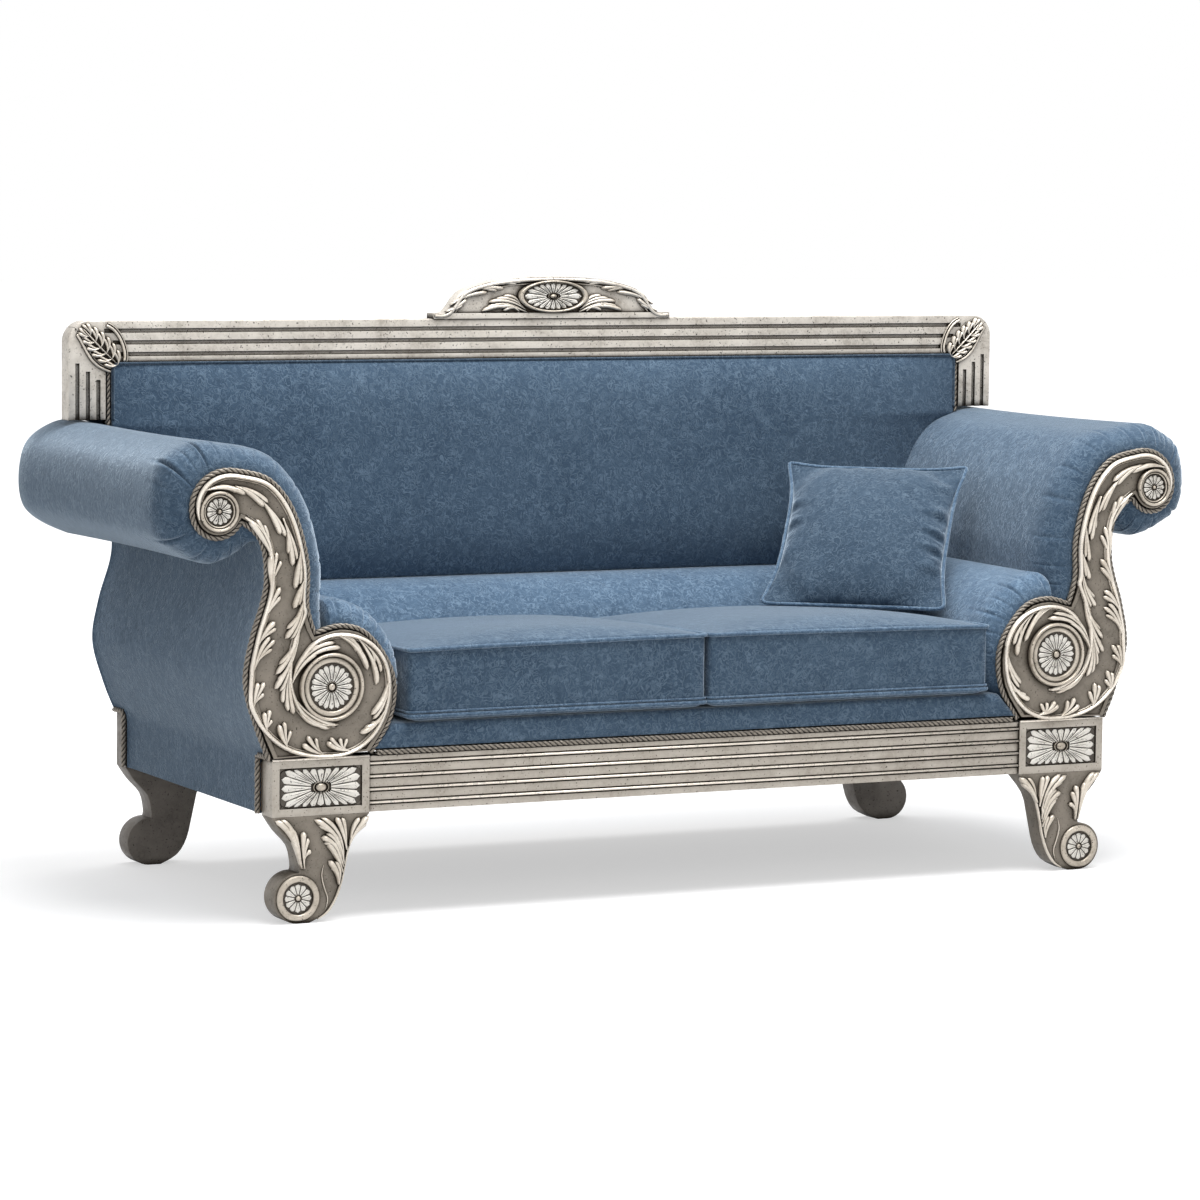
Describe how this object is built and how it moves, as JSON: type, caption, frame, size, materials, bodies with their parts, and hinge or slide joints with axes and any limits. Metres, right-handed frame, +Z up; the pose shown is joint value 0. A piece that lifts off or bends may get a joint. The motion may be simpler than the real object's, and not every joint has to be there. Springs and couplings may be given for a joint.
{
  "type": "three-seater sofa",
  "caption": "Scroll-arm sofa with a carved silvered wooden frame, velvet upholstery, loose seat cushions, padded rolls and a throw pillow.",
  "frame": {"origin": "on the floor, under the middle of the overall box", "axes": "+X to the sitter's left along the sofa, which is right in the picture; +Y to the back; +Z up"},
  "size_m": [2.2236, 0.821, 1.17],
  "materials": {
    "silvered_wood": "silver leaf with a brown-grey patina in the carving",
    "dark_patina_wood": "dark brown-grey patina, rubbed at the edges",
    "raw_beech": "planed and unfinished",
    "blue_velvet": "crushed velvet, slate blue",
    "twisted_rope": "twisted trim, dark pewter with light strands",
    "spring_steel": "bright drawn wire",
    "hessian": "coarse plain weave",
    "black_lining": "thin non-woven lining"
  },
  "bodies": {
    "root": {"front_leg_left": "silvered_wood", "front_leg_right": "silvered_wood", "rear_leg_left": "dark_patina_wood", "rear_leg_right": "dark_patina_wood", "front_block_left": "silvered_wood", "front_block_right": "silvered_wood", "block_rosette_left": "silvered_wood", "block_rosette_right": "silvered_wood", "foot_medallion_left": "silvered_wood", "foot_medallion_right": "silvered_wood", "leg_dowels": "raw_beech", "front_rail": "silvered_wood", "side_rail_left": "raw_beech", "side_rail_right": "raw_beech", "rear_rail": "raw_beech", "seat_stretcher": "raw_beech", "corner_blocks": "raw_beech", "seat_springs": "spring_steel", "spring_clips": "spring_steel", "hessian_sheet": "hessian", "seat_platform": "blue_velvet", "dust_cover": "black_lining", "rail_rope": "twisted_rope", "arm_facing_left": "silvered_wood", "arm_facing_right": "silvered_wood", "scroll_medallion_left": "silvered_wood", "scroll_medallion_right": "silvered_wood", "roll_rosette_left": "silvered_wood", "roll_rosette_right": "silvered_wood", "arm_rope_left": "twisted_rope", "arm_rope_right": "twisted_rope", "arm_front_board_left": "raw_beech", "arm_front_board_right": "raw_beech", "arm_back_board_left": "blue_velvet", "arm_back_board_right": "blue_velvet", "arm_rails_left": "raw_beech", "arm_rails_right": "raw_beech", "arm_pad_left": "blue_velvet", "arm_pad_right": "blue_velvet", "side_roll_left": "blue_velvet", "side_roll_right": "blue_velvet", "side_panel_left": "blue_velvet", "side_panel_right": "blue_velvet", "back_top_rail": "silvered_wood", "back_stile_left": "silvered_wood", "back_stile_right": "silvered_wood", "corner_leaf_left": "silvered_wood", "corner_leaf_right": "silvered_wood", "crest": "silvered_wood", "crest_rosette": "silvered_wood", "back_rope": "twisted_rope", "back_posts": "raw_beech", "back_battens": "raw_beech", "back_pad_frame": "raw_beech", "back_pad": "blue_velvet", "lumbar_roll": "blue_velvet", "outside_back": "blue_velvet"},
    "seat_cushion_left": {"seat_cushion_left": "blue_velvet"},
    "seat_cushion_right": {"seat_cushion_right": "blue_velvet"},
    "throw_pillow": {"throw_pillow": "blue_velvet"}
  },
  "joints": [
    {"name": "seat_cushion_left_lift", "type": "slide", "parent": "root", "child": "seat_cushion_left", "axis": [0, 0, 1], "range_m": [0, 0.6]},
    {"name": "seat_cushion_right_lift", "type": "slide", "parent": "root", "child": "seat_cushion_right", "axis": [0, 0, 1], "range_m": [0, 0.6]},
    {"name": "throw_pillow_lift", "type": "slide", "parent": "seat_cushion_right", "child": "throw_pillow", "axis": [0, 0, 1], "range_m": [0, 0.6]}
  ]
}
